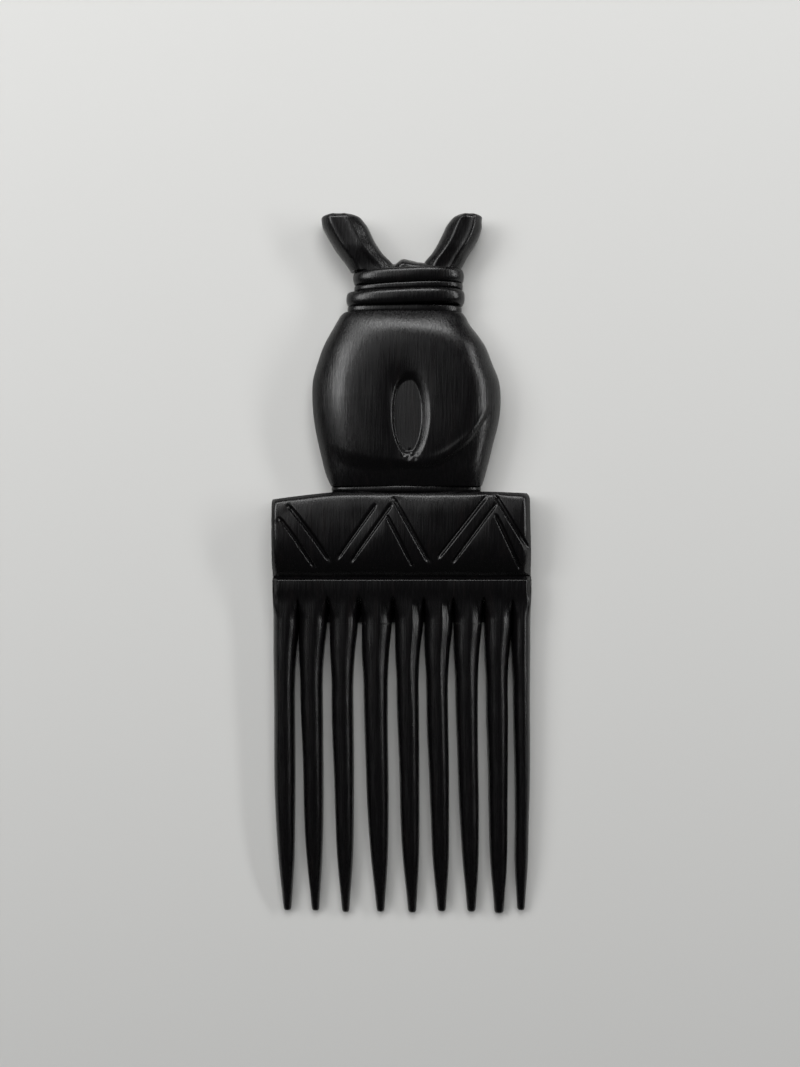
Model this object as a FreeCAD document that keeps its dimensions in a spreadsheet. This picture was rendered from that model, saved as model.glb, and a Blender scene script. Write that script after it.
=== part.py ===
import FreeCAD, Part
import math
import os

import Sketcher
from FreeCAD import Placement, Rotation, Vector

# A hair comb carved from one block of dark wood, lying on its back.
#
# Frame: X runs across the teeth, +Y along the comb from the tooth tips to the two tied ends,
# +Z out of the carved front. The origin is on the flat back, at the middle of the length and width.
# From the tips up: nine teeth, the bar they grow from, a panel with a cut zigzag, a thin foot
# collar, the pouch with its oval hollow, a thin neck collar, three turns of binding, and above
# them the gathered mouth between the two tied ends.
# The comb is one piece of wood. Each carved element is a solid of its own here, and
# neighbours meet face to face at the creases between them.
# Lengths are in millimetres.

# ---------------------------------------------------------------- driving dimensions

COMB = {
    "comb_width": 68.0,
    "comb_length": 184.0,
    # lengths along Y, from the tooth tips upwards
    "tooth_reach": 77.0,
    "bar_length": 12.2,
    "panel_length": 22.2,
    "foot_length": 1.5,
    "pouch_length": 45.4,
    "neck_length": 1.9,
    "lower_turn_length": 4.0,
    "middle_turn_length": 1.6,
    "upper_turn_length": 3.9,
    # thicknesses along Z
    "bar_height": 7.0,
    "pouch_height": 12.0,
    # tooth bar
    "gullet_length": 8.4,
    "gullet_root_width": 1.5,
    "gullet_front_width": 2.6,
    "bar_edge_round": 1.0,
    # zigzag panel
    "panel_lower_height": 6.2,
    "panel_crest_height": 9.6,
    "panel_upper_height": 8.6,
    "panel_corner": 1.2,
    "panel_left_drop": 2.2,
    "panel_right_drop": 0.6,
    "stroke_width": 1.5,
    "cut_depth": 0.7,
    # bands round the neck and the pouch's foot
    "band_back_round": 1.6,
    "band_shoulder": 2.4,
    "band_arch": 4.4,
    "band_edge_share": 0.32,
    # oval hollow in the pouch
    "hollow_x": 2.4,
    "hollow_y": 39.0,
    "hollow_width": 9.4,
    "hollow_length": 21.6,
    "hollow_floor": 9.9,
    # gathered mouth
    "mouth_left": -3.9,
    "mouth_right": 7.0,
    "mouth_floor": 1.6,
    "mouth_height": 6.2,
    "mouth_low": 1.4,
    "mouth_peak": 2.9,
}

# The teeth are hand cut, so each has its own place and size:
# centre at the root, sideways lean towards the tip, width at mid length, reach below the bar.
TEETH = [
    (-30.9, 1.1, 5.5, 76.2),
    (-23.6, 1.0, 5.4, 76.3),
    (-15.5, 0.9, 5.3, 76.7),
    (-6.9, 1.3, 5.9, 76.6),
    (1.6, 1.0, 5.4, 76.8),
    (9.4, 1.0, 5.2, 76.5),
    (17.1, 1.2, 5.3, 76.6),
    (25.2, 0.3, 5.1, 77.0),
    (31.8, -0.6, 3.9, 76.2),
]

# Along one tooth, each as a share: of its reach, its lean, its width and the bar's height.
# The last number is how far its back stands clear of the ground plane.
TOOTH_SHAPE = [
    (0.00, 0.00, 1.10, 0.94, 0.05),
    (0.38, 0.15, 1.00, 0.84, 0.12),
    (0.66, 0.45, 0.95, 0.72, 0.20),
    (0.87, 0.80, 0.68, 0.52, 0.35),
    (1.00, 1.00, 0.31, 0.30, 0.50),
]

# Shares of the pouch's length, with its left and right edges and its height as a share of
# the tallest. The pouch leans a little to the right of the comb's middle.
POUCH_SHAPE = [
    (0.00, -18.6, 20.9, 0.78),
    (0.09, -20.2, 22.2, 0.86),
    (0.21, -21.6, 23.5, 0.94),
    (0.35, -23.0, 25.2, 0.99),
    (0.49, -23.6, 25.9, 1.00),
    (0.63, -23.2, 25.1, 0.99),
    (0.76, -21.3, 22.7, 0.94),
    (0.89, -18.5, 19.0, 0.86),
    (1.00, -15.8, 16.1, 0.76),
]

# Bands round the comb: left edge, right edge, back height, thickness.
BANDS = {
    "foot_collar": (-18.8, 21.0, 0.4, 9.2),
    "neck_collar": (-14.5, 15.9, 0.8, 8.2),
    "wrap_lower": (-14.7, 16.6, 0.3, 10.0),
    "wrap_middle": (-13.0, 16.0, 0.9, 8.4),
    "wrap_upper": (-12.9, 16.3, 0.4, 9.6),
}

# The two tied ends: height above the binding, left edge, right edge, back height, thickness.
TIED_ENDS = {
    "ear_left": [
        (0.0, -13.6, -4.0, 1.4, 6.8),
        (4.4, -17.0, -5.5, 1.2, 7.4),
        (9.0, -20.0, -8.4, 1.2, 7.4),
        (12.8, -21.1, -10.6, 1.6, 6.8),
        (14.3, -20.0, -12.6, 2.8, 4.4),
    ],
    "ear_right": [
        (0.0, 7.1, 15.6, 1.4, 6.8),
        (4.4, 8.1, 17.8, 1.2, 7.4),
        (9.0, 10.3, 20.2, 1.2, 7.4),
        (12.8, 12.6, 21.1, 1.6, 6.8),
        (14.3, 14.2, 20.4, 2.8, 4.4),
    ],
}

# Strokes cut for the zigzag, in pairs: X and Y of the high end, then of the low end.
STROKES = [
    (-30.0, 17.0, -18.5, 0.5),
    (-32.0, 13.6, -22.5, -1.0),
    (-6.8, 16.0, -17.1, 1.4),
    (-2.8, 16.0, -13.8, 0.4),
    (-2.4, 17.8, 7.4, 0.5),
    (-4.4, 13.6, 3.0, -0.8),
    (21.8, 18.0, 8.8, 1.5),
    (24.5, 16.4, 12.6, 0.2),
    (24.2, 18.4, 32.5, 4.4),
    (24.0, 13.6, 31.0, -1.4),
]

# ---------------------------------------------------------------- document and sheet


class Bound:
    """A length together with the sheet expression that it comes from."""

    def __init__(self, value, text):
        self.value = value
        self.text = text

    def _with(self, sign, other, value):
        text = other.text if isinstance(other, Bound) else repr(other)
        return Bound(value, f"({self.text} {sign} {text})")

    def __add__(self, other):
        return self._with("+", other, self.value + plain(other))

    def __sub__(self, other):
        return self._with("-", other, self.value - plain(other))

    def __mul__(self, other):
        return self._with("*", other, self.value * plain(other))

    def __truediv__(self, other):
        return self._with("/", other, self.value / plain(other))


def plain(x):
    """The number that a Bound or a number stands for."""
    return x.value if isinstance(x, Bound) else x


doc = FreeCAD.newDocument("carved_comb")
sheet = doc.addObject("Spreadsheet::Sheet", "sizes")
cells = {}


def add_cell(alias, value):
    """Writes one named number to the sheet."""
    row = len(cells) + 1
    sheet.set(f"A{row}", alias)
    sheet.set(f"B{row}", str(value))
    sheet.setAlias(f"B{row}", alias)
    cells[alias] = value


def cell(alias):
    """The named size as a Bound."""
    return Bound(cells[alias], f"sizes.{alias}")


for size_name, size_value in COMB.items():
    add_cell(size_name, size_value)

for number, (root_x, lean, width, reach) in enumerate(TEETH, start=1):
    add_cell(f"tooth_{number}_x", root_x)
    add_cell(f"tooth_{number}_lean", lean)
    add_cell(f"tooth_{number}_width", width)
    add_cell(f"tooth_{number}_reach", reach)

for number, (share, left, right, height) in enumerate(POUCH_SHAPE, start=1):
    add_cell(f"pouch_{number}_share", share)
    add_cell(f"pouch_{number}_left", left)
    add_cell(f"pouch_{number}_right", right)
    add_cell(f"pouch_{number}_height", height)

for band, (left, right, back, thickness) in BANDS.items():
    add_cell(f"{band}_left", left)
    add_cell(f"{band}_right", right)
    add_cell(f"{band}_back", back)
    add_cell(f"{band}_thickness", thickness)

for number, ends in enumerate(STROKES, start=1):
    for place, value in zip(("high_x", "high_y", "low_x", "low_y"), ends):
        add_cell(f"stroke_{number}_{place}", value)

for end, stations in TIED_ENDS.items():
    for number, (rise, left, right, back, thickness) in enumerate(stations, start=1):
        add_cell(f"{end}_{number}_rise", rise)
        add_cell(f"{end}_{number}_left", left)
        add_cell(f"{end}_{number}_right", right)
        add_cell(f"{end}_{number}_back", back)
        add_cell(f"{end}_{number}_thickness", thickness)

doc.recompute()

# Places along Y where one carved element ends and the next begins.
root_line = cell("tooth_reach") - cell("comb_length") / 2
bar_top = root_line + cell("bar_length")
panel_top = bar_top + cell("panel_length")
foot_top = panel_top + cell("foot_length")
pouch_top = foot_top + cell("pouch_length")
neck_top = pouch_top + cell("neck_length")
lower_turn_top = neck_top + cell("lower_turn_length")
middle_turn_top = lower_turn_top + cell("middle_turn_length")
upper_turn_top = middle_turn_top + cell("upper_turn_length")
half_width = cell("comb_width") / 2

# ---------------------------------------------------------------- sketch helpers

START, END, CENTRE = 1, 2, 3
ORIGIN = -1


def new_body(label):
    body = doc.addObject("PartDesign::Body", label)
    body.Label = label
    return body


def plane(body, role):
    """One of the body's own origin planes."""
    return next(f for f in body.Origin.OriginFeatures if f.Role == role)


def new_sketch(body, name, role, offset):
    """A sketch on an origin plane, moved along the plane's normal by offset."""
    sketch = body.newObject("Sketcher::SketchObject", name)
    sketch.AttachmentSupport = [(plane(body, role), "")]
    sketch.MapMode = "FlatFace"
    sketch.AttachmentOffset = Placement(Vector(0, 0, plain(offset)), Rotation())
    if isinstance(offset, Bound):
        sketch.setExpression("AttachmentOffset.Base.z", offset.text)
    return sketch


def bind(sketch, name, size, *geometry):
    """Adds a named dimension and ties it to the sheet."""
    kind = geometry[0]
    index = sketch.addConstraint(Sketcher.Constraint(kind, *geometry[1:], plain(size)))
    sketch.renameConstraint(index, name)
    if isinstance(size, Bound):
        sketch.setExpression(f"Constraints.{name}", size.text)


def arc(cx, cy, radius, start_deg, end_deg):
    circle = Part.Circle(Vector(cx, cy, 0), Vector(0, 0, 1), radius)
    return Part.ArcOfCircle(circle, math.radians(start_deg), math.radians(end_deg))


def arch_section(body, name, station, left, right, back, thickness, corner, shoulder, arch):
    """A closed section across the comb at one Y: flat back, round back corners, upright
    sides, and an arched front of one flat crown between two rounder shoulders."""
    sketch = new_sketch(body, name, "XZ_Plane", station * -1)
    middle, half = plain(right + left) / 2, plain(right - left) / 2
    z0, rb, rs = plain(back), plain(corner), plain(shoulder)
    top = z0 + plain(thickness)
    spring = top - plain(arch)
    inner = half - rs
    crown = (inner**2 + plain(arch) ** 2 - rs**2) / (2 * (plain(arch) - rs))
    turn = math.degrees(math.atan2(spring - top + crown, inner))
    sketch.addGeometry(
        [
            Part.LineSegment(Vector(middle - half + rb, z0, 0), Vector(middle + half - rb, z0, 0)),
            arc(middle + half - rb, z0 + rb, rb, -90, 0),
            Part.LineSegment(Vector(middle + half, z0 + rb, 0), Vector(middle + half, spring, 0)),
            arc(middle + inner, spring, rs, 0, turn),
            arc(middle, top - crown, crown, turn, 180 - turn),
            arc(middle - inner, spring, rs, 180 - turn, 180),
            Part.LineSegment(Vector(middle - half, spring, 0), Vector(middle - half, z0 + rb, 0)),
            arc(middle - half + rb, z0 + rb, rb, 180, 270),
        ],
        False,
    )
    sketch.addGeometry(Part.Point(Vector(middle, top, 0)), True)
    for edge in range(8):
        following = (edge + 1) % 8
        sketch.addConstraint(Sketcher.Constraint("Tangent", edge, END, following, START))
    sketch.addConstraint(Sketcher.Constraint("Horizontal", 0))
    sketch.addConstraint(Sketcher.Constraint("Vertical", 2))
    sketch.addConstraint(Sketcher.Constraint("Vertical", 6))
    sketch.addConstraint(Sketcher.Constraint("Horizontal", 2, END, 6, START))
    sketch.addConstraint(Sketcher.Constraint("Equal", 1, 7))
    sketch.addConstraint(Sketcher.Constraint("Equal", 3, 5))
    sketch.addConstraint(Sketcher.Constraint("PointOnObject", 8, START, 4))
    sketch.addConstraint(Sketcher.Constraint("Vertical", 8, START, 4, CENTRE))
    bind(sketch, "corner", corner, "Radius", 1)
    bind(sketch, "shoulder", shoulder, "Radius", 3)
    bind(sketch, "left_edge", left, "DistanceX", ORIGIN, 1, 6, START)
    bind(sketch, "right_edge", right, "DistanceX", ORIGIN, 1, 2, END)
    bind(sketch, "back", back, "DistanceY", ORIGIN, 1, 0, START)
    bind(sketch, "spring", back + thickness - arch, "DistanceY", ORIGIN, 1, 2, END)
    bind(sketch, "top", back + thickness, "DistanceY", ORIGIN, 1, 8, START)
    return sketch


def loft(body, sections):
    """A smooth loft through the sections, in order."""
    doc.recompute()
    feature = body.newObject("PartDesign::AdditiveLoft", f"{body.Name}_loft")
    feature.Profile = sections[0]
    feature.Sections = sections[1:]
    feature.Ruled = False
    feature.Closed = False
    body.Tip = feature
    doc.recompute()
    return feature


def pad(body, sketch, length, midplane=False, reversed_way=False):
    """Pads a closed sketch by a length tied to the sheet."""
    doc.recompute()
    feature = body.newObject("PartDesign::Pad", f"{body.Name}_pad")
    feature.Profile = sketch
    feature.Length = plain(length)
    feature.setExpression("Length", length.text)
    feature.Midplane = midplane
    feature.Reversed = reversed_way
    body.Tip = feature
    doc.recompute()
    return feature


def round_edges(body, base, wanted, radius):
    """Rounds the edges of the base feature that the wanted test picks."""
    names = [f"Edge{i}" for i, edge in enumerate(base.Shape.Edges, start=1) if wanted(edge)]
    feature = body.newObject("PartDesign::Fillet", f"{body.Name}_rounding")
    feature.Base = (base, names)
    feature.Radius = plain(radius)
    feature.setExpression("Radius", radius.text)
    body.Tip = feature
    doc.recompute()
    return feature


def in_cross_plane(*stations):
    """A test for edges lying wholly in one of the cross planes at the given Y."""

    def test(edge):
        box = edge.BoundBox
        return box.YLength < 1e-4 and any(abs(box.YMin - plain(y)) < 1e-3 for y in stations)

    return test


def outline(sketch, corners, prefix=""):
    """A closed outline through the corners, every corner placed by the sheet."""
    places = [Vector(plain(x), plain(y), 0) for x, y in corners]
    count, first = len(places), sketch.GeometryCount
    for i in range(count):
        sketch.addGeometry(Part.LineSegment(places[i], places[(i + 1) % count]), False)
    for i in range(count):
        line, following = first + i, first + (i + 1) % count
        sketch.addConstraint(Sketcher.Constraint("Coincident", line, END, following, START))
    for i, (x, y) in enumerate(corners):
        bind(sketch, f"{prefix}corner_{i}_across", x, "DistanceX", ORIGIN, 1, first + i, START)
        bind(sketch, f"{prefix}corner_{i}_up", y, "DistanceY", ORIGIN, 1, first + i, START)


# ---------------------------------------------------------------- teeth

carved = []

for number in range(1, len(TEETH) + 1):
    tooth = new_body(f"tooth_{number}")
    root_x = cell(f"tooth_{number}_x")
    lean = cell(f"tooth_{number}_lean")
    width = cell(f"tooth_{number}_width")
    reach = cell(f"tooth_{number}_reach")
    sections = []
    for step, (down, aside, wide, thick, clear) in enumerate(TOOTH_SHAPE, start=1):
        centre = root_x + lean * aside
        across = width * wide
        sections.append(
            arch_section(
                tooth,
                f"tooth_{number}_section_{step}",
                station=root_line - reach * down,
                left=centre - across / 2,
                right=centre + across / 2,
                back=Bound(clear, repr(clear)),
                thickness=cell("bar_height") * thick,
                corner=across * 0.18,
                shoulder=across * 0.22,
                arch=across * 0.38,
            )
        )
    loft(tooth, sections)
    carved.append(tooth)

# ---------------------------------------------------------------- tooth bar

bar = new_body("tooth_bar")
bar_section = new_sketch(bar, "tooth_bar_side", "YZ_Plane", 0)
outline(
    bar_section,
    [
        (root_line, Bound(0.0, "0")),
        (bar_top, Bound(0.0, "0")),
        (bar_top, cell("panel_lower_height")),
        (bar_top - cell("bar_edge_round"), cell("bar_height")),
        (root_line, cell("bar_height") * TOOTH_SHAPE[0][3]),
    ],
)
bar_block = pad(bar, bar_section, cell("comb_width"), midplane=True)


def on_side(edge):
    """Whether an edge is one of the long back or front corners at the left and right sides."""
    box = edge.BoundBox
    at_side = abs(abs(box.XMin) - plain(half_width)) < 1e-3 and box.XLength < 1e-4
    return at_side and box.YLength > 5


round_edges(bar, bar_block, on_side, cell("bar_edge_round"))

# The gullet between two teeth runs through the bar at the teeth and rises to its front,
# wide at the front and narrow at the back.
for number in range(1, len(TEETH)):
    gullet = bar.newObject("PartDesign::SubtractiveLoft", f"gullet_{number}")
    near, far = TEETH[number - 1], TEETH[number]
    right_of_near = cell(f"tooth_{number}_x") + cell(f"tooth_{number}_width") / 2
    left_of_far = cell(f"tooth_{number + 1}_x") - cell(f"tooth_{number + 1}_width") / 2
    middle = (right_of_near + left_of_far) / 2
    profiles = []
    ends = [(0.0, -0.6), (1.0, plain(cell("bar_height")) - 0.4)]
    for along, bottom in ends:
        station = root_line + cell("gullet_length") * along
        profile = new_sketch(bar, f"gullet_{number}_end_{int(along)}", "XZ_Plane", station * -1)
        low, high = Bound(bottom, repr(bottom)), cell("bar_height") + 1
        narrow, broad = cell("gullet_root_width") / 2, cell("gullet_front_width") / 2
        outline(
            profile,
            [
                (middle - narrow, low),
                (middle + narrow, low),
                (middle + broad, high),
                (middle - broad, high),
            ],
        )
        profiles.append(profile)
    doc.recompute()
    before = bar.Shape.Volume
    gullet.Profile = profiles[0]
    gullet.Sections = profiles[1:]
    gullet.Ruled = True
    bar.Tip = gullet
    doc.recompute()
    assert bar.Shape.Volume < before - 1, f"gullet {number} cut nothing"
carved.append(bar)

# ---------------------------------------------------------------- zigzag panel


def panel_slab(label, sink):
    """A slab with the panel's bulging front, lowered by an amount."""
    body = new_body(label)
    side = new_sketch(body, f"{label}_side", "YZ_Plane", 0)
    ground = Bound(0.0, "0")
    middle = bar_top + cell("panel_length") * 0.62
    heights = [cell(f"panel_{place}_height") - sink for place in ("lower", "crest", "upper")]
    lower, crest, upper = heights
    points = [(panel_top, ground), (bar_top, ground), (bar_top, lower), (panel_top, upper)]
    places = [Vector(plain(y), plain(z), 0) for y, z in points]
    bulge = Part.Arc(places[3], Vector(plain(middle), plain(crest), 0), places[2])
    side.addGeometry([Part.LineSegment(places[i], places[i + 1]) for i in range(2)], False)
    side.addGeometry(bulge, False)
    side.addGeometry(Part.LineSegment(places[3], places[0]), False)
    side.addGeometry(Part.Point(Vector(plain(middle), plain(crest), 0)), True)
    side.addConstraint(Sketcher.Constraint("Coincident", 0, END, 1, START))
    side.addConstraint(Sketcher.Constraint("Coincident", 1, END, 2, END))
    side.addConstraint(Sketcher.Constraint("Coincident", 2, START, 3, START))
    side.addConstraint(Sketcher.Constraint("Coincident", 3, END, 0, START))
    side.addConstraint(Sketcher.Constraint("PointOnObject", 4, START, 2))
    for line, (y, z) in zip((0, 1, 3), (points[0], points[1], points[3])):
        bind(side, f"start_{line}_y", y, "DistanceX", ORIGIN, 1, line, START)
        bind(side, f"start_{line}_z", z, "DistanceY", ORIGIN, 1, line, START)
    bind(side, "lower_y", bar_top, "DistanceX", ORIGIN, 1, 1, END)
    bind(side, "lower_z", lower, "DistanceY", ORIGIN, 1, 1, END)
    bind(side, "crest_y", middle, "DistanceX", ORIGIN, 1, 4, START)
    bind(side, "crest_z", crest, "DistanceY", ORIGIN, 1, 4, START)
    pad(body, side, cell("comb_width"), midplane=True)
    return body


def boolean(kind, label, base, tool):
    """One Part boolean of two shapes."""
    feature = doc.addObject(f"Part::{kind}", label)
    feature.Label = label
    feature.Base = base
    feature.Tool = tool
    doc.recompute()
    return feature


# the top edge falls towards both upper corners, more on the left
panel_plan = new_body("panel_plan")
plan_sketch = new_sketch(panel_plan, "panel_plan_outline", "XY_Plane", 0)
outline(
    plan_sketch,
    [
        (half_width * -1, bar_top),
        (half_width, bar_top),
        (half_width, panel_top - cell("panel_right_drop") - cell("panel_corner")),
        (half_width - cell("panel_corner"), panel_top - cell("panel_right_drop")),
        (cell("foot_collar_right") + 0.2, panel_top),
        (cell("foot_collar_left") - 0.2, panel_top),
        (half_width * -1 + cell("panel_corner"), panel_top - cell("panel_left_drop")),
        (half_width * -1, panel_top - cell("panel_left_drop") - cell("panel_corner")),
    ],
)
pad(panel_plan, plan_sketch, cell("pouch_height"))
panel_block = boolean(
    "Common", "panel_block", panel_slab("panel_front", Bound(0.0, "0")), panel_plan
)

# the strokes are cut to one depth below the bulging front
strokes = new_body("zigzag_strokes")
stroke_sketch = new_sketch(strokes, "zigzag_outline", "XY_Plane", 0)
stroke_half = cell("stroke_width") / 2
for number in range(1, len(STROKES) + 1):
    high_x, high_y = cell(f"stroke_{number}_high_x"), cell(f"stroke_{number}_high_y")
    low_x, low_y = cell(f"stroke_{number}_low_x"), cell(f"stroke_{number}_low_y")
    corners = [
        (high_x - stroke_half, high_y),
        (high_x + stroke_half, high_y),
        (low_x + stroke_half, low_y),
        (low_x - stroke_half, low_y),
    ]
    outline(stroke_sketch, corners, f"stroke_{number}_")
pad(strokes, stroke_sketch, cell("pouch_height"))
cuts = boolean("Cut", "zigzag_cuts", strokes, panel_slab("panel_floor", cell("cut_depth")))
panel = boolean("Cut", "zigzag_panel", panel_block, cuts)
assert panel.Shape.Volume < panel_block.Shape.Volume - 20, "the zigzag cut nothing"
carved.append(panel)

# ---------------------------------------------------------------- bands round the comb

BAND_ENDS = {
    "foot_collar": (panel_top, foot_top, "foot_length"),
    "neck_collar": (pouch_top, neck_top, "neck_length"),
    "wrap_lower": (neck_top, lower_turn_top, "lower_turn_length"),
    "wrap_middle": (lower_turn_top, middle_turn_top, "middle_turn_length"),
    "wrap_upper": (middle_turn_top, upper_turn_top, "upper_turn_length"),
}

for band, (low_end, high_end, length_name) in BAND_ENDS.items():
    body = new_body(band)
    section = arch_section(
        body,
        f"{band}_section",
        station=high_end,
        left=cell(f"{band}_left"),
        right=cell(f"{band}_right"),
        back=cell(f"{band}_back"),
        thickness=cell(f"{band}_thickness"),
        corner=cell("band_back_round"),
        shoulder=cell("band_shoulder"),
        arch=cell("band_arch"),
    )
    block = pad(body, section, cell(length_name))
    rounding = cell(length_name) * cell("band_edge_share")
    round_edges(body, block, in_cross_plane(low_end, high_end), rounding)
    carved.append(body)

# ---------------------------------------------------------------- pouch

pouch = new_body("handle_body")
sections = []
for number in range(1, len(POUCH_SHAPE) + 1):
    height = cell("pouch_height") * cell(f"pouch_{number}_height")
    sections.append(
        arch_section(
            pouch,
            f"pouch_section_{number}",
            station=foot_top + cell("pouch_length") * cell(f"pouch_{number}_share"),
            left=cell(f"pouch_{number}_left"),
            right=cell(f"pouch_{number}_right"),
            back=Bound(0.0, "0"),
            thickness=height,
            corner=height * 0.22,
            shoulder=height * 0.36,
            arch=height * 0.56,
        )
    )
loft(pouch, sections)

hollow_sketch = new_sketch(pouch, "hollow_outline", "XY_Plane", cell("hollow_floor"))
x, y = cell("hollow_x"), cell("hollow_y")
long_half, wide_half = cell("hollow_length") / 2, cell("hollow_width") / 2
top_point = Vector(plain(x), plain(y + long_half), 0)
side_point = Vector(plain(x + wide_half), plain(y), 0)
hollow_sketch.addGeometry(
    Part.Ellipse(top_point, side_point, Vector(plain(x), plain(y), 0)), False
)
hollow_sketch.exposeInternalGeometry(0)
bind(hollow_sketch, "middle_across", x, "DistanceX", ORIGIN, 1, 0, CENTRE)
bind(hollow_sketch, "middle_up", y, "DistanceY", ORIGIN, 1, 0, CENTRE)
hollow_sketch.addConstraint(Sketcher.Constraint("Vertical", 1))
bind(hollow_sketch, "long_axis", cell("hollow_length"), "Distance", 1, START, 1, END)
bind(hollow_sketch, "short_axis", cell("hollow_width"), "Distance", 2, START, 2, END)
doc.recompute()
before = pouch.Shape.Volume
hollow = pouch.newObject("PartDesign::Pocket", "oval_hollow")
hollow.Profile = hollow_sketch
hollow.Length = plain(cell("pouch_height"))
hollow.setExpression("Length", "sizes.pouch_height")
hollow.Reversed = True
hollow.TaperAngle = 0
pouch.Tip = hollow
doc.recompute()
assert pouch.Shape.Volume < before - 100, "the hollow cut nothing"
carved.append(pouch)

# ---------------------------------------------------------------- tied ends and mouth

for end, stations in TIED_ENDS.items():
    body = new_body(end)
    sections = []
    for number in range(1, len(stations) + 1):
        left, right = cell(f"{end}_{number}_left"), cell(f"{end}_{number}_right")
        thickness = cell(f"{end}_{number}_thickness")
        sections.append(
            arch_section(
                body,
                f"{end}_section_{number}",
                station=upper_turn_top + cell(f"{end}_{number}_rise"),
                left=left,
                right=right,
                back=cell(f"{end}_{number}_back"),
                thickness=thickness,
                corner=thickness * 0.20,
                shoulder=thickness * 0.26,
                arch=thickness * 0.44,
            )
        )
    loft(body, sections)
    carved.append(body)

mouth = new_body("mouth_lip")
mouth_sketch = new_sketch(mouth, "mouth_outline", "XY_Plane", cell("mouth_floor"))
mouth_left, mouth_right = cell("mouth_left"), cell("mouth_right")
outline(
    mouth_sketch,
    [
        (mouth_left, upper_turn_top),
        (mouth_right, upper_turn_top),
        (mouth_right, upper_turn_top + cell("mouth_low") + 0.5),
        (mouth_left + (mouth_right - mouth_left) * 0.33, upper_turn_top + cell("mouth_peak")),
        (mouth_left + (mouth_right - mouth_left) * 0.17, upper_turn_top + cell("mouth_low")),
        (mouth_left, upper_turn_top + cell("mouth_low") + 0.3),
    ],
)
pad(mouth, mouth_sketch, cell("mouth_height"))
carved.append(mouth)

# ---------------------------------------------------------------- checks and files

for item in doc.Objects:
    assert not {"Invalid", "Error"} & set(item.State), f"{item.Name} did not build"

for item in carved:
    shape = item.Shape
    assert not shape.isNull() and shape.isValid(), f"{item.Label} has no sound shape"
    assert len(shape.Solids) == 1, f"{item.Label} is not one solid"

os.makedirs("parts", exist_ok=True)
for item in carved:
    item.Shape.exportStep(f"parts/{item.Label}.step")
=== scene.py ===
import math

import bpy
import mathutils
import numpy as np
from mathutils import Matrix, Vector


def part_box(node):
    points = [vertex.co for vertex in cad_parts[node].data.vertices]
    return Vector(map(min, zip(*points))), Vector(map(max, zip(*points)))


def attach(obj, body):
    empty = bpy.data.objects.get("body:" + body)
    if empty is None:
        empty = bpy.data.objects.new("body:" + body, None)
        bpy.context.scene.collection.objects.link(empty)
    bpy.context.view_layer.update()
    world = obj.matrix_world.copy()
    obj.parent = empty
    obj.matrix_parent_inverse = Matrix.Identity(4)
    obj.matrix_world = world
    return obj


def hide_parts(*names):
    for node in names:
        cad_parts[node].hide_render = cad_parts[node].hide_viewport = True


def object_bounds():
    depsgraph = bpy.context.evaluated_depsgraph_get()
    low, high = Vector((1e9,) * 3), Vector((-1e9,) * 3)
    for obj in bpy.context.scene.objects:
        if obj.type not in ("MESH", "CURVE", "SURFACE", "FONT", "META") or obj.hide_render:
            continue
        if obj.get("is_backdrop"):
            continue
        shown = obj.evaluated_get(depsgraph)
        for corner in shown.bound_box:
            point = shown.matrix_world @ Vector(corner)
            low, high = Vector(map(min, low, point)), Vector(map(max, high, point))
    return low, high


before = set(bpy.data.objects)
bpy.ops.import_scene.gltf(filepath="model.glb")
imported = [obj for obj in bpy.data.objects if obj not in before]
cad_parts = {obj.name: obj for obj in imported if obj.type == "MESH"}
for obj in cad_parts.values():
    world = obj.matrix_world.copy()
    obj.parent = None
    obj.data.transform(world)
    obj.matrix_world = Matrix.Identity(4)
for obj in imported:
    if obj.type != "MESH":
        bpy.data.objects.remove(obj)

cad_low, cad_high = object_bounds()
MM = 0.001

# Every visible piece is a closed skin of rings: each ring runs once round the comb at one place
# along it, and the rings are stacked along Y. Lengths here are in millimetres until the mesh
# is made. The creases between pieces come from the CAD boxes.


def low(node, axis):
    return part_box(node)[0][axis] / MM


def high(node, axis):
    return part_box(node)[1][axis] / MM


# ---------------------------------------------------------------- small mathematics


def spline(points):
    """A natural cubic curve through (place, value) pairs, held flat past both ends."""
    xs, ys = (np.array(column, float) for column in zip(*sorted(points)))
    step = np.diff(xs)
    count = len(xs)
    system, right = np.eye(count), np.zeros(count)
    for i in range(1, count - 1):
        system[i, i - 1 : i + 2] = step[i - 1], 2 * (step[i - 1] + step[i]), step[i]
        right[i] = 6 * ((ys[i + 1] - ys[i]) / step[i] - (ys[i] - ys[i - 1]) / step[i - 1])
    bend = np.linalg.solve(system, right)

    def value(x):
        x = np.clip(np.asarray(x, float), xs[0], xs[-1])
        i = np.clip(np.searchsorted(xs, x, side="right") - 1, 0, count - 2)
        h, a, b = step[i], xs[i + 1] - x, x - xs[i]
        line = ys[i] * a / h + ys[i + 1] * b / h
        curve = (a**3 / h - h * a) * bend[i] + (b**3 / h - h * b) * bend[i + 1]
        return line + curve / 6

    return value


def ease(x, start, end):
    """0 before start, 1 after end, and smooth in between."""
    t = np.clip((x - start) / (end - start), 0, 1)
    return t * t * (3 - 2 * t)


def blend(x, start, end):
    """ease for a single number."""
    return float(ease(x, start, end))


def bump(x, middle, width):
    """1 at the middle, falling smoothly to 0 on both sides."""
    return np.exp(-(((x - middle) / width) ** 2))


WAVES = [(0.31, 0.17), (-0.23, 0.41), (0.57, -0.29), (0.12, 0.83), (0.91, 0.35)]


def wobble(x, y, seed, size):
    """The slow unevenness that a knife leaves: a few fixed waves."""
    total = 0
    for i, (kx, ky) in enumerate(WAVES):
        total = total + np.sin(kx * x + ky * y + seed * (1.7 + i) + i * i) / (1 + 0.35 * i)
    return total * size / 2.2


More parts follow.
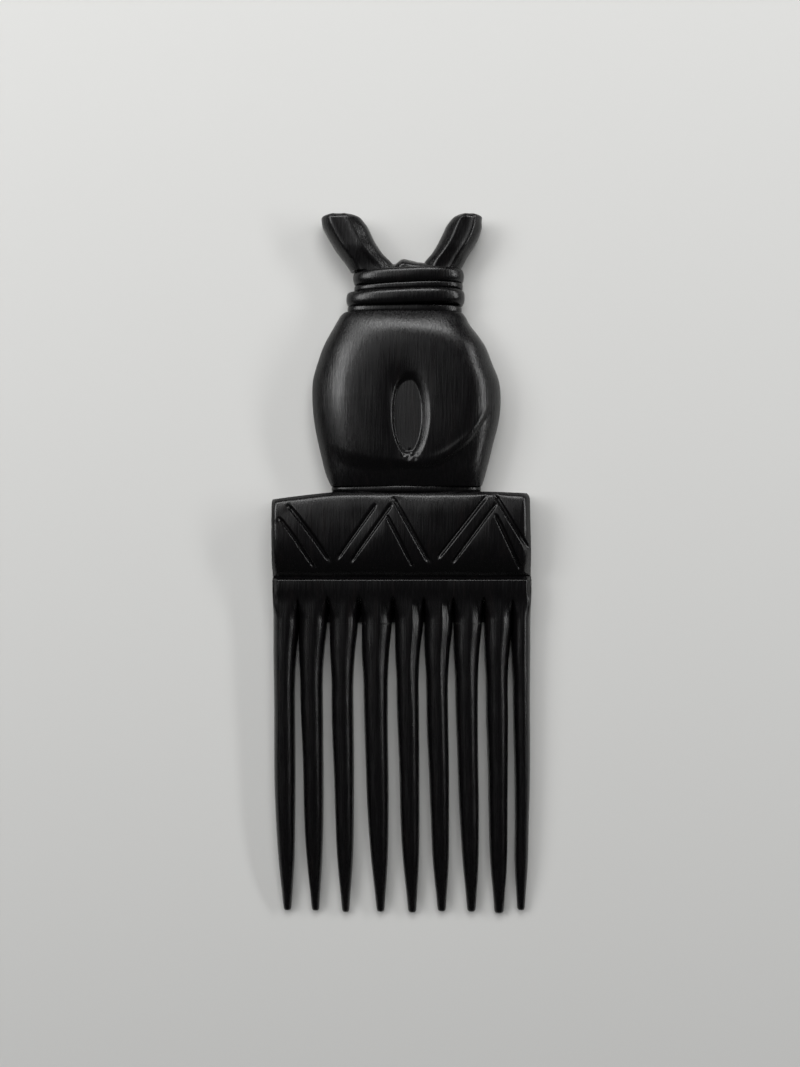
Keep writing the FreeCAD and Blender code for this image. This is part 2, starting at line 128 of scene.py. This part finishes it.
def soft_max(a, b, radius):
    """The larger of two heights, with the corner between them rounded."""
    gap = np.clip(0.5 + (a - b) / (2 * radius), 0, 1)
    return b + (a - b) * gap + radius * gap * (1 - gap)


def dome(u, power):
    """1 in the middle, falling to 0 at u = -1 and 1."""
    return np.clip(1 - np.abs(u) ** power, 0, 1) ** (1 / power)


# ---------------------------------------------------------------- rings and skins


LINE_SAMPLES = 900
CORNER_STEPS = 7
BACK_POINTS = 24


def ring(left, right, back, corner, front, count, along_line=True):
    """One closed ring. front(x) is the carved height between the edges, and corner is the
    radius of the two edges of the back. The front's points are spaced evenly along the carved
    line, or else at the same shares of the width in every ring."""
    turn = np.linspace(0, math.pi, LINE_SAMPLES) if along_line else np.linspace(0, 1, count)
    share = (1 - np.cos(turn)) / 2 if along_line else turn
    xs = left + (right - left) * share
    zs = front(xs)
    xs = np.concatenate([[left], xs, [right]])
    zs = np.concatenate([[back + corner], np.maximum(zs, back + corner), [back + corner]])
    if along_line:
        along = np.concatenate([[0], np.cumsum(np.hypot(np.diff(xs), np.diff(zs)))])
        places = np.linspace(0, along[-1], count)
        xs, zs = np.interp(places, along, xs), np.interp(places, along, zs)
    top = np.column_stack([xs, zs])
    quarter = np.linspace(0, math.pi / 2, CORNER_STEPS)
    fall, rise = quarter[1:], quarter[:-1]
    right_corner = np.column_stack(
        [right - corner + corner * np.cos(fall), back + corner - corner * np.sin(fall)]
    )
    back_x = np.linspace(right - corner, left + corner, BACK_POINTS)[1:-1]
    back_line = np.column_stack([back_x, np.full_like(back_x, back)])
    left_corner = np.column_stack(
        [left + corner - corner * np.sin(rise), back + corner - corner * np.cos(rise)]
    )
    return np.concatenate([top, right_corner, back_line, left_corner])


def skin(node, rings, warp=None):
    count = len(rings[0][1])
    points = np.concatenate(
        [np.column_stack([r[:, 0], np.full(count, y), r[:, 1]]) for y, r in rings]
    )
    if warp:
        points = warp(points)
    faces = []
    for row in range(len(rings) - 1):
        a, b = row * count, (row + 1) * count
        for i in range(count):
            j = (i + 1) % count
            faces.append((a + i, a + j, b + j, b + i))
    last = (len(rings) - 1) * count
    faces.append(tuple(range(count))[::-1])
    faces.append(tuple(range(last, last + count)))
    mesh = bpy.data.meshes.new(node)
    mesh.from_pydata((points * MM).tolist(), [], faces)
    mesh.validate()
    for polygon in mesh.polygons:
        polygon.use_smooth = True
    ends = np.zeros(len(mesh.edges) * 2, int)
    mesh.edges.foreach_get("vertices", ends)
    at_end = ((ends < count) | (ends >= last)).reshape(-1, 2).all(axis=1)
    mesh.edges.foreach_set("use_edge_sharp", at_end)
    mesh.materials.append(WOOD)
    piece = bpy.data.objects.new(node, mesh)
    bpy.context.collection.objects.link(piece)
    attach(piece, "root")
    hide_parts(node)


# ---------------------------------------------------------------- ebony


def nodes_of(material):
    material.use_nodes = True
    tree = material.node_tree
    tree.nodes.clear()
    return tree.nodes, tree.links


def ramp(nodes, stops):
    node = nodes.new("ShaderNodeValToRGB")
    node.color_ramp.elements[0].position = stops[0][0]
    node.color_ramp.elements[0].color = (*stops[0][1], 1)
    node.color_ramp.elements[1].position = stops[-1][0]
    node.color_ramp.elements[1].color = (*stops[-1][1], 1)
    for place, colour in stops[1:-1]:
        node.color_ramp.elements.new(place).color = (*colour, 1)
    return node


def noise_field(nodes, links, coordinates, stretch, scale, detail, roughness):
    """Noise drawn out by its own share along each axis."""
    mapping = nodes.new("ShaderNodeMapping")
    mapping.inputs["Scale"].default_value = stretch
    noise = nodes.new("ShaderNodeTexNoise")
    noise.inputs["Scale"].default_value = scale
    noise.inputs["Detail"].default_value = detail
    noise.inputs["Roughness"].default_value = roughness
    links.new(coordinates, mapping.inputs["Vector"])
    links.new(mapping.outputs["Vector"], noise.inputs["Vector"])
    return noise.outputs["Fac"]


def relief(nodes, links, height, strength, distance):
    node = nodes.new("ShaderNodeBump")
    node.inputs["Strength"].default_value = strength
    node.inputs["Distance"].default_value = distance
    links.new(height, node.inputs["Height"])
    return node


def ebony(name):
    """Hand-rubbed ebony: nearly black, with faint streaks and fine pores along the comb."""
    material = bpy.data.materials.new(name)
    nodes, links = nodes_of(material)
    coordinates = nodes.new("ShaderNodeTexCoord").outputs["Object"]
    streaks = noise_field(nodes, links, coordinates, (1.0, 0.07, 1.0), 620.0, 5.0, 0.62)
    pores = noise_field(nodes, links, coordinates, (1.0, 0.045, 1.0), 2600.0, 3.0, 0.6)

    colour = ramp(
        nodes,
        [
            (0.30, (0.0011, 0.0010, 0.0012)),
            (0.55, (0.0016, 0.0014, 0.0017)),
            (0.74, (0.0036, 0.0026, 0.0027)),
        ],
    )
    links.new(streaks, colour.inputs["Fac"])

    rough = ramp(nodes, [(0.32, (0.35,) * 3), (0.50, (0.28,) * 3), (0.70, (0.23,) * 3)])
    links.new(pores, rough.inputs["Fac"])

    fine = relief(nodes, links, pores, 0.42, 0.00011)
    coarse = relief(nodes, links, streaks, 0.22, 0.00018)
    links.new(fine.outputs["Normal"], coarse.inputs["Normal"])

    shader = nodes.new("ShaderNodeBsdfPrincipled")
    shader.inputs["Specular IOR Level"].default_value = 0.42
    links.new(colour.outputs["Color"], shader.inputs["Base Color"])
    links.new(rough.outputs["Color"], shader.inputs["Roughness"])
    links.new(coarse.outputs["Normal"], shader.inputs["Normal"])
    output = nodes.new("ShaderNodeOutputMaterial")
    links.new(shader.outputs["BSDF"], output.inputs["Surface"])
    return material


WOOD = ebony("ebony")

# ---------------------------------------------------------------- teeth and their bar

# Along a tooth: how far from the tip, then the share of its width, height and lean.
TOOTH_WIDTH = spline([(0, 0.34), (1, 0.38), (3.7, 0.46), (9, 0.63), (14, 0.77), (24, 0.92),
                      (35, 0.99), (50, 1.0), (80, 1.0)])
TOOTH_HEIGHT = spline([(0, 0.24), (2, 0.32), (10, 0.55), (26, 0.76), (48, 0.88), (78, 1.0)])
TOOTH_LEAN = spline([(0, 1.0), (10, 0.8), (26, 0.45), (48, 0.15), (76, 0.0)])
# centre at the root, lean, width, place of the tip, how flat the facet on its right is near the
# root, and how much fuller the last stretch is
TEETH = [
    (-31.2, 0.8, 5.5, -91.2, 0.1, 0.0),
    (-23.7, 0.75, 5.35, -91.3, 0.15, 0.0),
    (-15.55, 0.65, 5.3, -91.7, 0.3, 0.0),
    (-6.85, 1.15, 5.9, -91.6, 0.6, -0.02),
    (1.65, 1.0, 5.35, -91.8, 1.0, 0.04),
    (9.45, 1.1, 5.3, -91.5, 1.0, 0.05),
    (17.2, 1.2, 5.4, -91.6, 0.6, 0.04),
    (25.25, 0.4, 5.25, -92.0, 0.5, 0.10),
    (31.85, -0.35, 3.95, -91.2, 0.3, 0.14),
]
LAST = len(TEETH) - 1
ROOT_HEIGHT = 6.5
TIP_LIFT = 0.35
BLUNT_LENGTH = 0.5
# how round the front of a tooth is, and the edges of its facet as shares of its half width
ROUNDNESS = 2.4
FACET_INNER, FACET_OUTER = 0.24, 0.68

BAR_LOW, BAR_HIGH = low("tooth_bar", 1), high("tooth_bar", 1)
COMB_LEFT, COMB_RIGHT = low("tooth_bar", 0), high("tooth_bar", 0)
BAR_HEIGHT, BAR_RISE, BAR_FALL = 6.3, 0.65, 1.7
# where the ramp between two teeth begins and ends, and how high it rises
RAMP_START = -14.9
GULLET_TOP = -6.8
RAMP_HEIGHT = 6.1


def tooth_edges(number, y):
    """Left edge, right edge and height of a tooth at one place along it. Its inner sides
    flare towards the bar until they meet the next tooth."""
    root, lean, width, tip, _, fuller = TEETH[number]
    from_tip = y - tip
    centre = root + lean * float(TOOTH_LEAN(from_tip))
    centre += 0.04 * math.sin(0.13 * y + 1.9 * number) * blend(-y, 18, 30)
    share = float(TOOTH_WIDTH(from_tip)) + fuller * blend(-from_tip, -26, -8)
    half = width / 2 * share * (1 + 0.012 * math.sin(0.2 * y + 2.3 * number))
    flare = 0.85 * blend(y, -34, -15) ** 1.3 + 0.9 * blend(y, -9.5, GULLET_TOP)
    left, right = centre - half, centre + half
    if number > 0:
        left -= flare + 0.5 * blend(y, -58, -34) * (1 - blend(y, -26, -14))
    if number < LAST:
        right += flare + 0.35 * blend(y, -22, -14.8) * (1 - blend(y, -11, GULLET_TOP))
    return left, right, ROOT_HEIGHT * float(TOOTH_HEIGHT(from_tip))


def tooth_back(y):
    """The back lifts a little off the floor towards the tip."""
    return TIP_LIFT * blend(-y, 40, 92)


def tooth_front(x, number, y):
    """The carved front of one tooth: round, with a flat facet along its right near the root,
    and flatter where it runs into the bar."""
    left, right, height = tooth_edges(number, y)
    flat_share = TEETH[number][4] * blend(y, -40, -22) * (1 - blend(y, -10.5, -7.5))
    u = np.clip((x - (left + right) / 2) / ((right - left) / 2), -1, 1)
    flatter = blend(y, -14, GULLET_TOP)
    arch = dome(u, ROUNDNESS + 3.5 * flatter)
    inner, outer = dome(FACET_INNER, ROUNDNESS), dome(FACET_OUTER, ROUNDNESS)
    facet = inner + (outer - inner) * (u - FACET_INNER) / (FACET_OUTER - FACET_INNER)
    on_facet = (u > FACET_INNER) & (u < FACET_OUTER)
    arch = np.where(on_facet, arch + (facet - arch) * flat_share, arch)
    side = 0.34 + 0.4 * flatter
    cut = 0.25 * flat_share * ease(u, 0.2, 0.9)
    ridge = 0.25 * (1 - flatter) * np.abs(u - 0.1)
    shape = height * (side + (1 - side) * arch) - cut - ridge
    return tooth_back(y) + shape + wobble(x * 0.7, y * 0.9, number, 0.04)


def make_tooth(number):
    tip = TEETH[number][3]
    nose = tip + np.array([0, 0.05, 0.15, 0.3, 0.5])
    rings = []
    for y in [*nose, *np.arange(tip + 1.0, BAR_LOW, 0.42), BAR_LOW]:
        left, right, _ = tooth_edges(number, y)
        blunt = 0.78 + 0.22 * math.sqrt(min(1.0, (y - tip) / BLUNT_LENGTH))
        middle, half = (left + right) / 2, (right - left) / 2 * blunt
        back = tooth_back(y)
        corner = 0.18 * half + 0.12

        def front(x):
            return back + (tooth_front(middle + (x - middle) / blunt, number, y) - back) * blunt

        rings.append((y, ring(middle - half, middle + half, back, corner, front, 60)))
    skin(f"tooth_{number + 1}", rings)


for number in range(len(TEETH)):
    make_tooth(number)


def ramp_height(x, y, number, slot_left, slot_right, outside):
    """The ramp in the slot to the left of a tooth. Away from the slot it is as low as outside."""
    middle, wide = (slot_left + slot_right) / 2, max(0.35, (slot_right - slot_left) / 2)
    across = np.clip((x - middle) / wide, -1, 1)
    start = RAMP_START + across - 0.5 * math.sin(2.1 * number)
    end = GULLET_TOP + 0.8 * math.sin(1.3 * number)
    up = np.clip((y - start) / (end - start), -0.1, 1)
    near = np.abs(x - middle) < wide + 1.5
    return np.where(near, RAMP_HEIGHT * np.sign(up) * np.abs(up) ** 1.25, outside)


def bar_front(x, y):
    """The teeth widen into the bar, and between each pair a ramp rises to its front."""
    teeth = np.full_like(x, -1.0)
    ramps = np.full_like(x, -0.6)
    for number in range(len(TEETH)):
        left, right, _ = tooth_edges(number, y)
        if number > 0:
            ramps = ramp_height(x, y, number, previous, left, ramps)
        previous = right
        # the outermost teeth reach past the ends of the bar
        left = COMB_LEFT - 1 if number == 0 else left
        right = COMB_RIGHT + 1 if number == LAST else right
        inside = (x >= left) & (x <= right)
        teeth = np.where(inside, np.maximum(teeth, tooth_front(x, number, y)), teeth)
    gullets = soft_max(teeth, ramps, 0.35)
    body = BAR_HEIGHT + BAR_RISE * ease(y, -12.0, -4.4) - BAR_FALL * ease(y, -3.8, BAR_HIGH + 0.1)
    body = body + wobble(x, y, 3.0, 0.08)
    merge = ease(y, -11.0, GULLET_TOP + 0.9)
    ends = ease(x, COMB_LEFT, COMB_LEFT + 1.8) * ease(-x, -COMB_RIGHT, -COMB_RIGHT + 1.8)
    return gullets * (1 - merge) + body * merge - 1.3 * (1 - ends) * merge


def make_bar():
    rings = []
    for y in [BAR_LOW + 0.01, *np.arange(BAR_LOW + 0.15, BAR_HIGH - 0.05, 0.15), BAR_HIGH]:
        squarer = blend(y, -15, -7)
        left, right = tooth_edges(0, y)[0], tooth_edges(LAST, y)[1]
        left += (COMB_LEFT + 0.05 - left) * squarer
        right += (COMB_RIGHT - 0.15 - right) * squarer
        front = lambda x: bar_front(x, y)
        rings.append((y, ring(left, right, 0.0, 0.6, front, 900, along_line=False)))
    skin("tooth_bar", rings)


make_bar()

# ---------------------------------------------------------------- zigzag panel

PANEL_LOW, PANEL_HIGH = low("zigzag_panel", 1), high("zigzag_panel", 1)

# Grooves cut in pairs: the high end, the low end, half width, depth, and the side on which
# the wood slopes away broadly, -1 for left and 1 for right.
GROOVES = [
    ((-29.9, 17.6), (-18.3, 0.5), 0.85, 0.85, -1),
    ((-32.2, 14.2), (-22.4, -1.2), 0.75, 0.70, -1),
    ((-6.6, 16.3), (-17.3, 1.2), 0.75, 0.75, 1),
    ((-2.5, 16.4), (-13.9, 0.3), 0.80, 0.80, 1),
    ((-2.5, 18.2), (7.5, 0.3), 0.85, 0.80, 1),
    ((-4.4, 14.0), (3.2, -1.0), 0.75, 0.70, -1),
    ((22.0, 18.5), (8.6, 1.4), 0.75, 0.75, -1),
    ((24.6, 16.6), (12.4, 0.0), 0.80, 0.80, 1),
    ((24.0, 18.9), (33.1, 3.9), 0.90, 0.90, 1),
    ((23.9, 14.0), (31.3, -1.7), 0.80, 0.85, -1),
]


def from_line(x, y, start, end):
    """Signed distance from a straight cut, positive on its right, and the share of the way
    along it, which may pass its ends."""
    dx, dy = end[0] - start[0], end[1] - start[1]
    length = math.hypot(dx, dy)
    along = ((x - start[0]) * dx + (y - start[1]) * dy) / length**2
    return ((x - start[0]) * -dy + (y - start[1]) * dx) / length, along


PANEL_PROFILE = spline([(-2.8, 5.2), (-1.9, 6.1), (0.0, 7.6), (3.5, 8.95), (8, 9.45), (13, 9.4),
                        (16, 9.15), (17.8, 8.7), (18.8, 8.1), (19.4, 7.3)])


def panel_top_edge(x):
    """The upper edge bows up in the middle and falls further to the left."""
    fall_left = 2.1 * np.clip((-x - 15.0) / 19.0, 0, 1) ** 1.3
    fall_right = 0.5 * np.clip((x - 20.0) / 14.0, 0, 1) ** 1.5
    return PANEL_HIGH - fall_left - fall_right


def panel_front(x, y):
    height = PANEL_PROFILE(y) + wobble(x, y, 1.0, 0.10)
    cut = np.zeros_like(x)
    for start, end, half, depth, side in GROOVES:
        off, along = from_line(x, y, start, end)
        taper = ease(along, -0.01, 0.10) * ease(-along, -1.01, -0.88)
        groove = depth * (0.5 + 0.5 * np.cos(math.pi * np.clip(off / (1.15 * half), -1, 1)))
        broad = 0.42 * depth * np.exp(-np.abs(off) / 1.7) * (off * side > 0)
        cut = np.maximum(cut, taper * np.maximum(groove, broad))
    left_round = 1.3 * (1 - ease(x, COMB_LEFT - 0.5, COMB_LEFT + 1.6)) ** 1.4
    right_round = 2.8 * (1 - ease(-x, -COMB_RIGHT - 0.6, -COMB_RIGHT + 3.4)) ** 1.6
    return height - cut - left_round - right_round


def bow_panel(points):
    share = ease(points[:, 1], 4.0, PANEL_HIGH)
    drop = panel_top_edge(points[:, 0]) - PANEL_HIGH
    points[:, 1] += share * drop
    return points


def rounded_end(y, start, length):
    """0 below start, growing along a quarter circle to 1 at the end of length."""
    return 1 - math.sqrt(1 - min(1.0, max(0.0, (y - start) / length)) ** 2)


def make_panel():
    finer_from = PANEL_HIGH - 1.2
    coarse = np.arange(PANEL_LOW, finer_from, 0.18)
    fine = np.arange(finer_from, PANEL_HIGH, 0.09)
    rings = []
    for y in [*coarse, *fine, PANEL_HIGH]:
        left = COMB_LEFT + 0.03 + 0.6 * rounded_end(y, 18.4, 1.3)
        right = 33.3 + 0.4 * blend(-y, -16, 0) + 0.2 * blend(-y, 0, 3)
        right -= 1.3 * rounded_end(y, 17.8, 1.7)
        rings.append((y, ring(left, right, 0.0, 0.9, lambda x: panel_front(x, y), 620)))
    skin("zigzag_panel", rings, warp=bow_panel)


make_panel()

# ---------------------------------------------------------------- pouch

POUCH_LOW, POUCH_HIGH = low("handle_body", 1), high("handle_body", 1)
POUCH_LEFT = spline([(20.3, -18.4), (24, -20.0), (28.2, -21.1), (32.4, -22.1), (36.6, -22.9),
                     (40.8, -23.4), (45, -23.6), (49.2, -23.3), (53.4, -22.1), (57.6, -20.6),
                     (61.7, -18.4), (63.8, -17.2), (65.9, -15.8), (66.5, -15.2)])
POUCH_RIGHT = spline([(20.3, 20.7), (24, 21.9), (28.2, 23.0), (32.4, 24.0), (36.6, 25.1),
                      (40.8, 25.75), (44.5, 25.85), (49.2, 25.2), (53.4, 23.5), (57.6, 21.8),
                      (61.7, 18.9), (63.8, 17.4), (65.9, 16.2), (66.5, 15.6)])
FOLD = spline([(-22, 33.5), (-13.9, 29.6), (-7.9, 28.3), (0, 27.2), (8.1, 26.9), (12.3, 28.9),
               (15.2, 31.1), (17.8, 33.5), (20.5, 37.5), (24, 43)])
HOLLOW_X, HOLLOW_Y = 2.3, 39.0
# small splinters lost from the lower end of the hollow: place and size
CHIPS = [(0.4, 28.6, 0.45), (1.5, 27.9, 0.6), (2.5, 28.9, 0.4), (3.3, 27.8, 0.5), (2.0, 30.0, 0.35),
         (0.9, 29.6, 0.3), (4.1, 29.0, 0.35)]


POUCH_HEIGHT = 11.7
# how far the front has turned down, from the middle of the pouch (0) to its outline (1)
SHOULDER = np.linspace(0, 1, 400)
SHOULDER_TILT = np.radians(4.5 * SHOULDER + 27 * ease(SHOULDER, 0.47, 0.84) + 34 * SHOULDER**14)
HALF_WIDTH = 24.7
SHOULDER_DROP = np.cumsum(np.tan(SHOULDER_TILT)) * HALF_WIDTH / len(SHOULDER)
# how squarely the shoulder turns the corners between its sides and its ends
SQUARENESS = 1.4
HOLLOW_HALF_WIDTH, HOLLOW_HALF_LENGTH, HOLLOW_DEPTH = 4.95, 11.3, 1.25


def shoulder_drop(x, y, left, right):
    """How far a nearly flat disc has turned down over one firm shoulder to its outline."""
    u = np.abs(x - (left + right) / 2) / ((right - left) / 2)
    v = max(0.0, (y - 44) / 26.5, (44 - y) / 28.0)
    u = np.where(x > (left + right) / 2, u**1.5, u)
    edge_x = np.clip(1 - u, 0.001, 1)
    edge_y = np.clip(1 - v - 0.08 * u * u * ease(y, 48, 60), 0.001, 1)
    out = 1 - (edge_x**-SQUARENESS + edge_y**-SQUARENESS - 1) ** (-1 / SQUARENESS)
    return np.interp(out, SHOULDER, SHOULDER_DROP)


def hollow_depth(x, y):
    """The hollow has a steep left wall, a broad sloping right wall and a flat floor. The wood
    around it sinks towards its rim, most above it and to its left."""
    narrower = 0.6 * ease(HOLLOW_Y - y, 0, 11)
    dx = (x - HOLLOW_X) / (HOLLOW_HALF_WIDTH - narrower)
    dy = (y - HOLLOW_Y) / HOLLOW_HALF_LENGTH
    from_middle = (np.abs(dx) ** 2.4 + np.abs(dy) ** 2.4) ** (1 / 2.4)
    inward = (1 - from_middle) * HOLLOW_HALF_WIDTH
    wall = 0.55 + 1.9 * ease(dx, 0.0, 0.7) + 0.5 * ease(np.abs(dy), 0.5, 1.0)
    depth = HOLLOW_DEPTH * (0.25 * ease(inward, 0, wall) + 0.75 * np.clip(inward / wall, 0, 1))
    for chip_x, chip_y, size in CHIPS:
        depth = depth + 0.45 * size * np.exp(-(((x - chip_x) ** 2 + (y - chip_y) ** 2) / size**2))
    sink = 0.45 - 0.50 * np.clip(dx, -1.0, 0.8) + 0.30 * np.clip(dy, -1, 1)
    outward = np.clip(from_middle - 1, 0, 9) * HOLLOW_HALF_WIDTH
    return depth + 0.95 * sink * np.exp(-outward / 1.7)


def cove_depth(x, y):
    """Below the fold the front drops into a cove, sharply at the right and softly at the left,
    with a low lip along the fold."""
    under = FOLD(x) - y
    reach = ease(x, -22, -9) * ease(-x, -25, -15)
    sharp = 1.6 + 2.4 * ease(-x, -5, 10)
    cove = 0.85 * reach * ease(under, -0.4, sharp) * (1 - 0.4 * ease(under, 3.0, 8.0))
    lip = 0.22 * reach * bump(under, -1.2, 1.0) * ease(x, 2, 12)
    return cove - lip


def pouch_front(x, y, left, right):
    height = POUCH_HEIGHT - shoulder_drop(x, y, left, right) + wobble(x * 0.6, y * 0.6, 5.0, 0.07)
    return height - hollow_depth(x, y) - cove_depth(x, y)


def make_pouch():
    rings = []
    for y in [*np.arange(POUCH_LOW, POUCH_HIGH, 0.2), POUCH_HIGH]:
        left, right = float(POUCH_LEFT(y)), float(POUCH_RIGHT(y))
        front = lambda x: pouch_front(x, y, left, right)
        rings.append((y, ring(left, right, 0.0, 2.2, front, 380)))
    skin("handle_body", rings)


make_pouch()

# ---------------------------------------------------------------- bands


def band(node, left_edge, right_edge, back, crest, swell, slope=0.0, power=2.6):
    """A ring of binding: round along the comb as well as across it. Its front is tilted by
    slope."""
    start, end = low(node, 1), high(node, 1)
    rings = []
    for t in np.linspace(-1, 1, 31):
        y = (start + end) / 2 + (end - start) / 2 * t
        pull = swell * (1 - (1 - abs(t) ** power) ** (1 / power))
        left, right = left_edge + pull, right_edge - pull
        middle, half = (left + right) / 2, (right - left) / 2

        def front(x):
            u = (x - middle) / half
            rise = crest * (0.32 + 0.68 * dome(u, 2.5)) - pull
            return rise + wobble(x * 1.3, y, len(node), 0.06)

        rings.append((y, ring(left, right, back + 0.5 * pull, 1.3, front, 150)))

    def tilt(points):
        points[:, 1] += slope * points[:, 0] * (points[:, 2] / crest)
        return points

    skin(node, rings, warp=tilt)


TURN_SLOPE = 0.045
band("foot_collar", -18.6, 20.8, 0.3, 8.1, 0.30, power=2.0)
band("neck_collar", -14.4, 15.7, 0.8, 8.3, 0.45)
band("wrap_lower", -14.7, 16.5, 0.4, 9.9, 1.1, TURN_SLOPE, 2.2)
band("wrap_middle", -12.6, 16.0, 1.0, 8.9, 0.5, TURN_SLOPE)
band("wrap_upper", -12.9, 16.3, 0.4, 9.6, 1.1, TURN_SLOPE, 2.2)

# ---------------------------------------------------------------- tied ends and mouth

NECK_TOP = high("wrap_upper", 1)
END_TOP = high("ear_left", 1)
# left edge, right edge, and how far its two ridges are shifted across it
TIED_ENDS = {
    "ear_left": (
        spline([(77.2, -13.4), (78.3, -14.1), (81.4, -16.4), (84.5, -18.5), (87.7, -20.3),
                (89.3, -21.0), (90.7, -21.2), (91.5, -20.9), (92, -19.8)]),
        spline([(77.2, -1.2), (79.8, -2.9), (81.4, -4.6), (83, -5.9), (86.1, -7.7), (89.3, -9.3),
                (90.6, -10.3), (91.4, -11.2), (92, -12.6)]),
        -0.1,
    ),
    "ear_right": (
        spline([(77.2, 4.6), (80.3, 6.3), (81.4, 7.3), (84.5, 9.3), (87.7, 10.9), (89.3, 11.7),
                (90.6, 12.7), (91.4, 13.6), (92, 14.9)]),
        spline([(77.2, 14.8), (78.3, 15.6), (81.4, 17.3), (84.5, 19.3), (87.7, 20.7),
                (89.3, 21.0), (90.9, 21.0), (91.6, 20.7), (92, 19.6)]),
        0.1,
    ),
}

END_CREST = 7.4
MOUTH_LEFT, MOUTH_RIGHT, MOUTH_HEIGHT = -4.4, 7.2, 6.9


def make_tied_end(node, left_edge, right_edge, shift):
    rings = []
    coarse = np.arange(NECK_TOP - 0.4, END_TOP - 1.6, 0.25)
    fine = np.arange(END_TOP - 1.6, END_TOP, 0.1)
    for y in [*coarse, *fine, END_TOP]:
        left, right = float(left_edge(y)), float(right_edge(y))
        middle, half = (left + right) / 2, (right - left) / 2
        close = math.sqrt(max(0.0, 1 - max(0.0, (y - END_TOP + 1.5) / 1.55) ** 2))
        crest = END_CREST * (0.55 + 0.45 * close) - 0.9 * blend(-y, -84, -78)
        back = 1.2 + 1.2 * (1 - close)

        def front(x):
            u = (x - middle) / half
            ridges = bump(u, shift - 0.45, 0.20) + bump(u, shift + 0.40, 0.17)
            rise = crest * (0.30 + 0.62 * dome(u, 2.6)) + 0.42 * ridges
            return back + rise + wobble(x, y, shift * 9, 0.06)

        rings.append((y, ring(left, right, back, 1.1 * (0.3 + 0.7 * close), front, 110)))
    skin(node, rings)


for node, (left_edge, right_edge, shift) in TIED_ENDS.items():
    make_tied_end(node, left_edge, right_edge, shift)

MOUTH_EDGE = spline([(-4.4, 79.9), (-2.6, 79.2), (-2.1, 79.3), (-0.3, 80.5), (2.5, 80.2),
                     (5.0, 79.8), (7.2, 79.6)])
MOUTH_START = NECK_TOP - 0.3


def draw_mouth(points):
    """Draws the straight rings, which are 1 mm long in all, out to the uneven upper edge."""
    share = points[:, 1] - MOUTH_START
    points[:, 1] = MOUTH_START + share * (MOUTH_EDGE(points[:, 0]) - MOUTH_START)
    return points


def make_mouth():
    rings = []
    for t in np.linspace(0, 1, 28):
        height = MOUTH_HEIGHT * math.sqrt(1 - 0.8 * t**3)
        front = lambda x: height - 0.8 * bump(x, -2.1, 0.9) + 0.4 * bump(x, -0.2, 1.2)
        rings.append((MOUTH_START + t, ring(MOUTH_LEFT, MOUTH_RIGHT, 1.6, 0.8, front, 110)))
    skin("mouth_lip", rings, warp=draw_mouth)


make_mouth()

# ---------------------------------------------------------------- floor, light and camera

REACH = 1.5
corners = [(-REACH, -REACH, 0), (REACH, -REACH, 0), (REACH, REACH, 0), (-REACH, REACH, 0)]
floor_mesh = bpy.data.meshes.new("floor")
floor_mesh.from_pydata(corners, [], [(0, 1, 2, 3)])
floor = bpy.data.objects.new("floor", floor_mesh)
bpy.context.collection.objects.link(floor)
floor.location.z = cad_low[2] - 0.0001
paper = bpy.data.materials.new("floor")
nodes, links = nodes_of(paper)
shader = nodes.new("ShaderNodeBsdfPrincipled")
shader.inputs["Base Color"].default_value = (0.60, 0.60, 0.588, 1)
shader.inputs["Roughness"].default_value = 0.9
shader.inputs["Specular IOR Level"].default_value = 0.1
output = nodes.new("ShaderNodeOutputMaterial")
links.new(shader.outputs["BSDF"], output.inputs["Surface"])
floor_mesh.materials.append(paper)
floor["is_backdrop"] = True


def lamp(name, place, aim, size, power, mirrored=True):
    """A soft rectangular light. One that is not mirrored lights the scene without showing as
    a highlight."""
    data = bpy.data.lights.new(name, "AREA")
    data.shape = "RECTANGLE"
    data.size, data.size_y = size
    data.energy = power
    light = bpy.data.objects.new(name, data)
    light.location = place
    away = mathutils.Vector(place) - mathutils.Vector(aim)
    light.rotation_euler = away.to_track_quat("Z", "Y").to_euler()
    light.visible_glossy = mirrored
    bpy.context.collection.objects.link(light)


lamp("window", (-0.56, 0.24, 0.50), (0, 0.03, 0), (0.42, 0.30), 2.7)
lamp("corner", (-0.32, 0.52, 0.50), (0, 0.03, 0), (0.32, 0.24), 1.0)
lamp("skylight", (0.04, 0.62, 0.50), (0, 0.05, 0), (0.50, 0.16), 2.4)
lamp("side", (0.62, 0.18, 0.31), (0, 0.03, 0), (0.62, 0.07), 2.0)
lamp("wall", (-0.34, 0.36, 1.0), (-0.1, 0.15, 0), (0.7, 0.6), 1.0)
lamp("ceiling", (0.30, 0.62, 1.0), (0.05, 0.3, 0), (0.9, 0.5), 3.4, mirrored=False)

world = bpy.data.worlds.new("room")
world.use_nodes = True
world.node_tree.nodes["Background"].inputs["Color"].default_value = (1, 1, 1, 1)
world.node_tree.nodes["Background"].inputs["Strength"].default_value = 0.04
bpy.context.scene.world = world
bpy.context.scene.view_settings.view_transform = "Standard"

# The camera looks straight down. The frame's height is what it sees in the plane through the
# comb's middle thickness.
HEIGHT_ABOVE = 0.36
FRAME_HEIGHT = 0.2796
SENSOR = 36.0
camera_data = bpy.data.cameras.new("camera")
camera = bpy.data.objects.new("camera", camera_data)
bpy.context.collection.objects.link(camera)
camera_data.sensor_fit = "VERTICAL"
camera_data.sensor_height = SENSOR
camera_data.lens = SENSOR * HEIGHT_ABOVE / FRAME_HEIGHT
camera.location = (-0.00056, 0.00846, 0.005 + HEIGHT_ABOVE)
camera_data.clip_start = 0.01
bpy.context.scene.camera = camera

corners = {"cad": (cad_low, cad_high), "visual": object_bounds()}
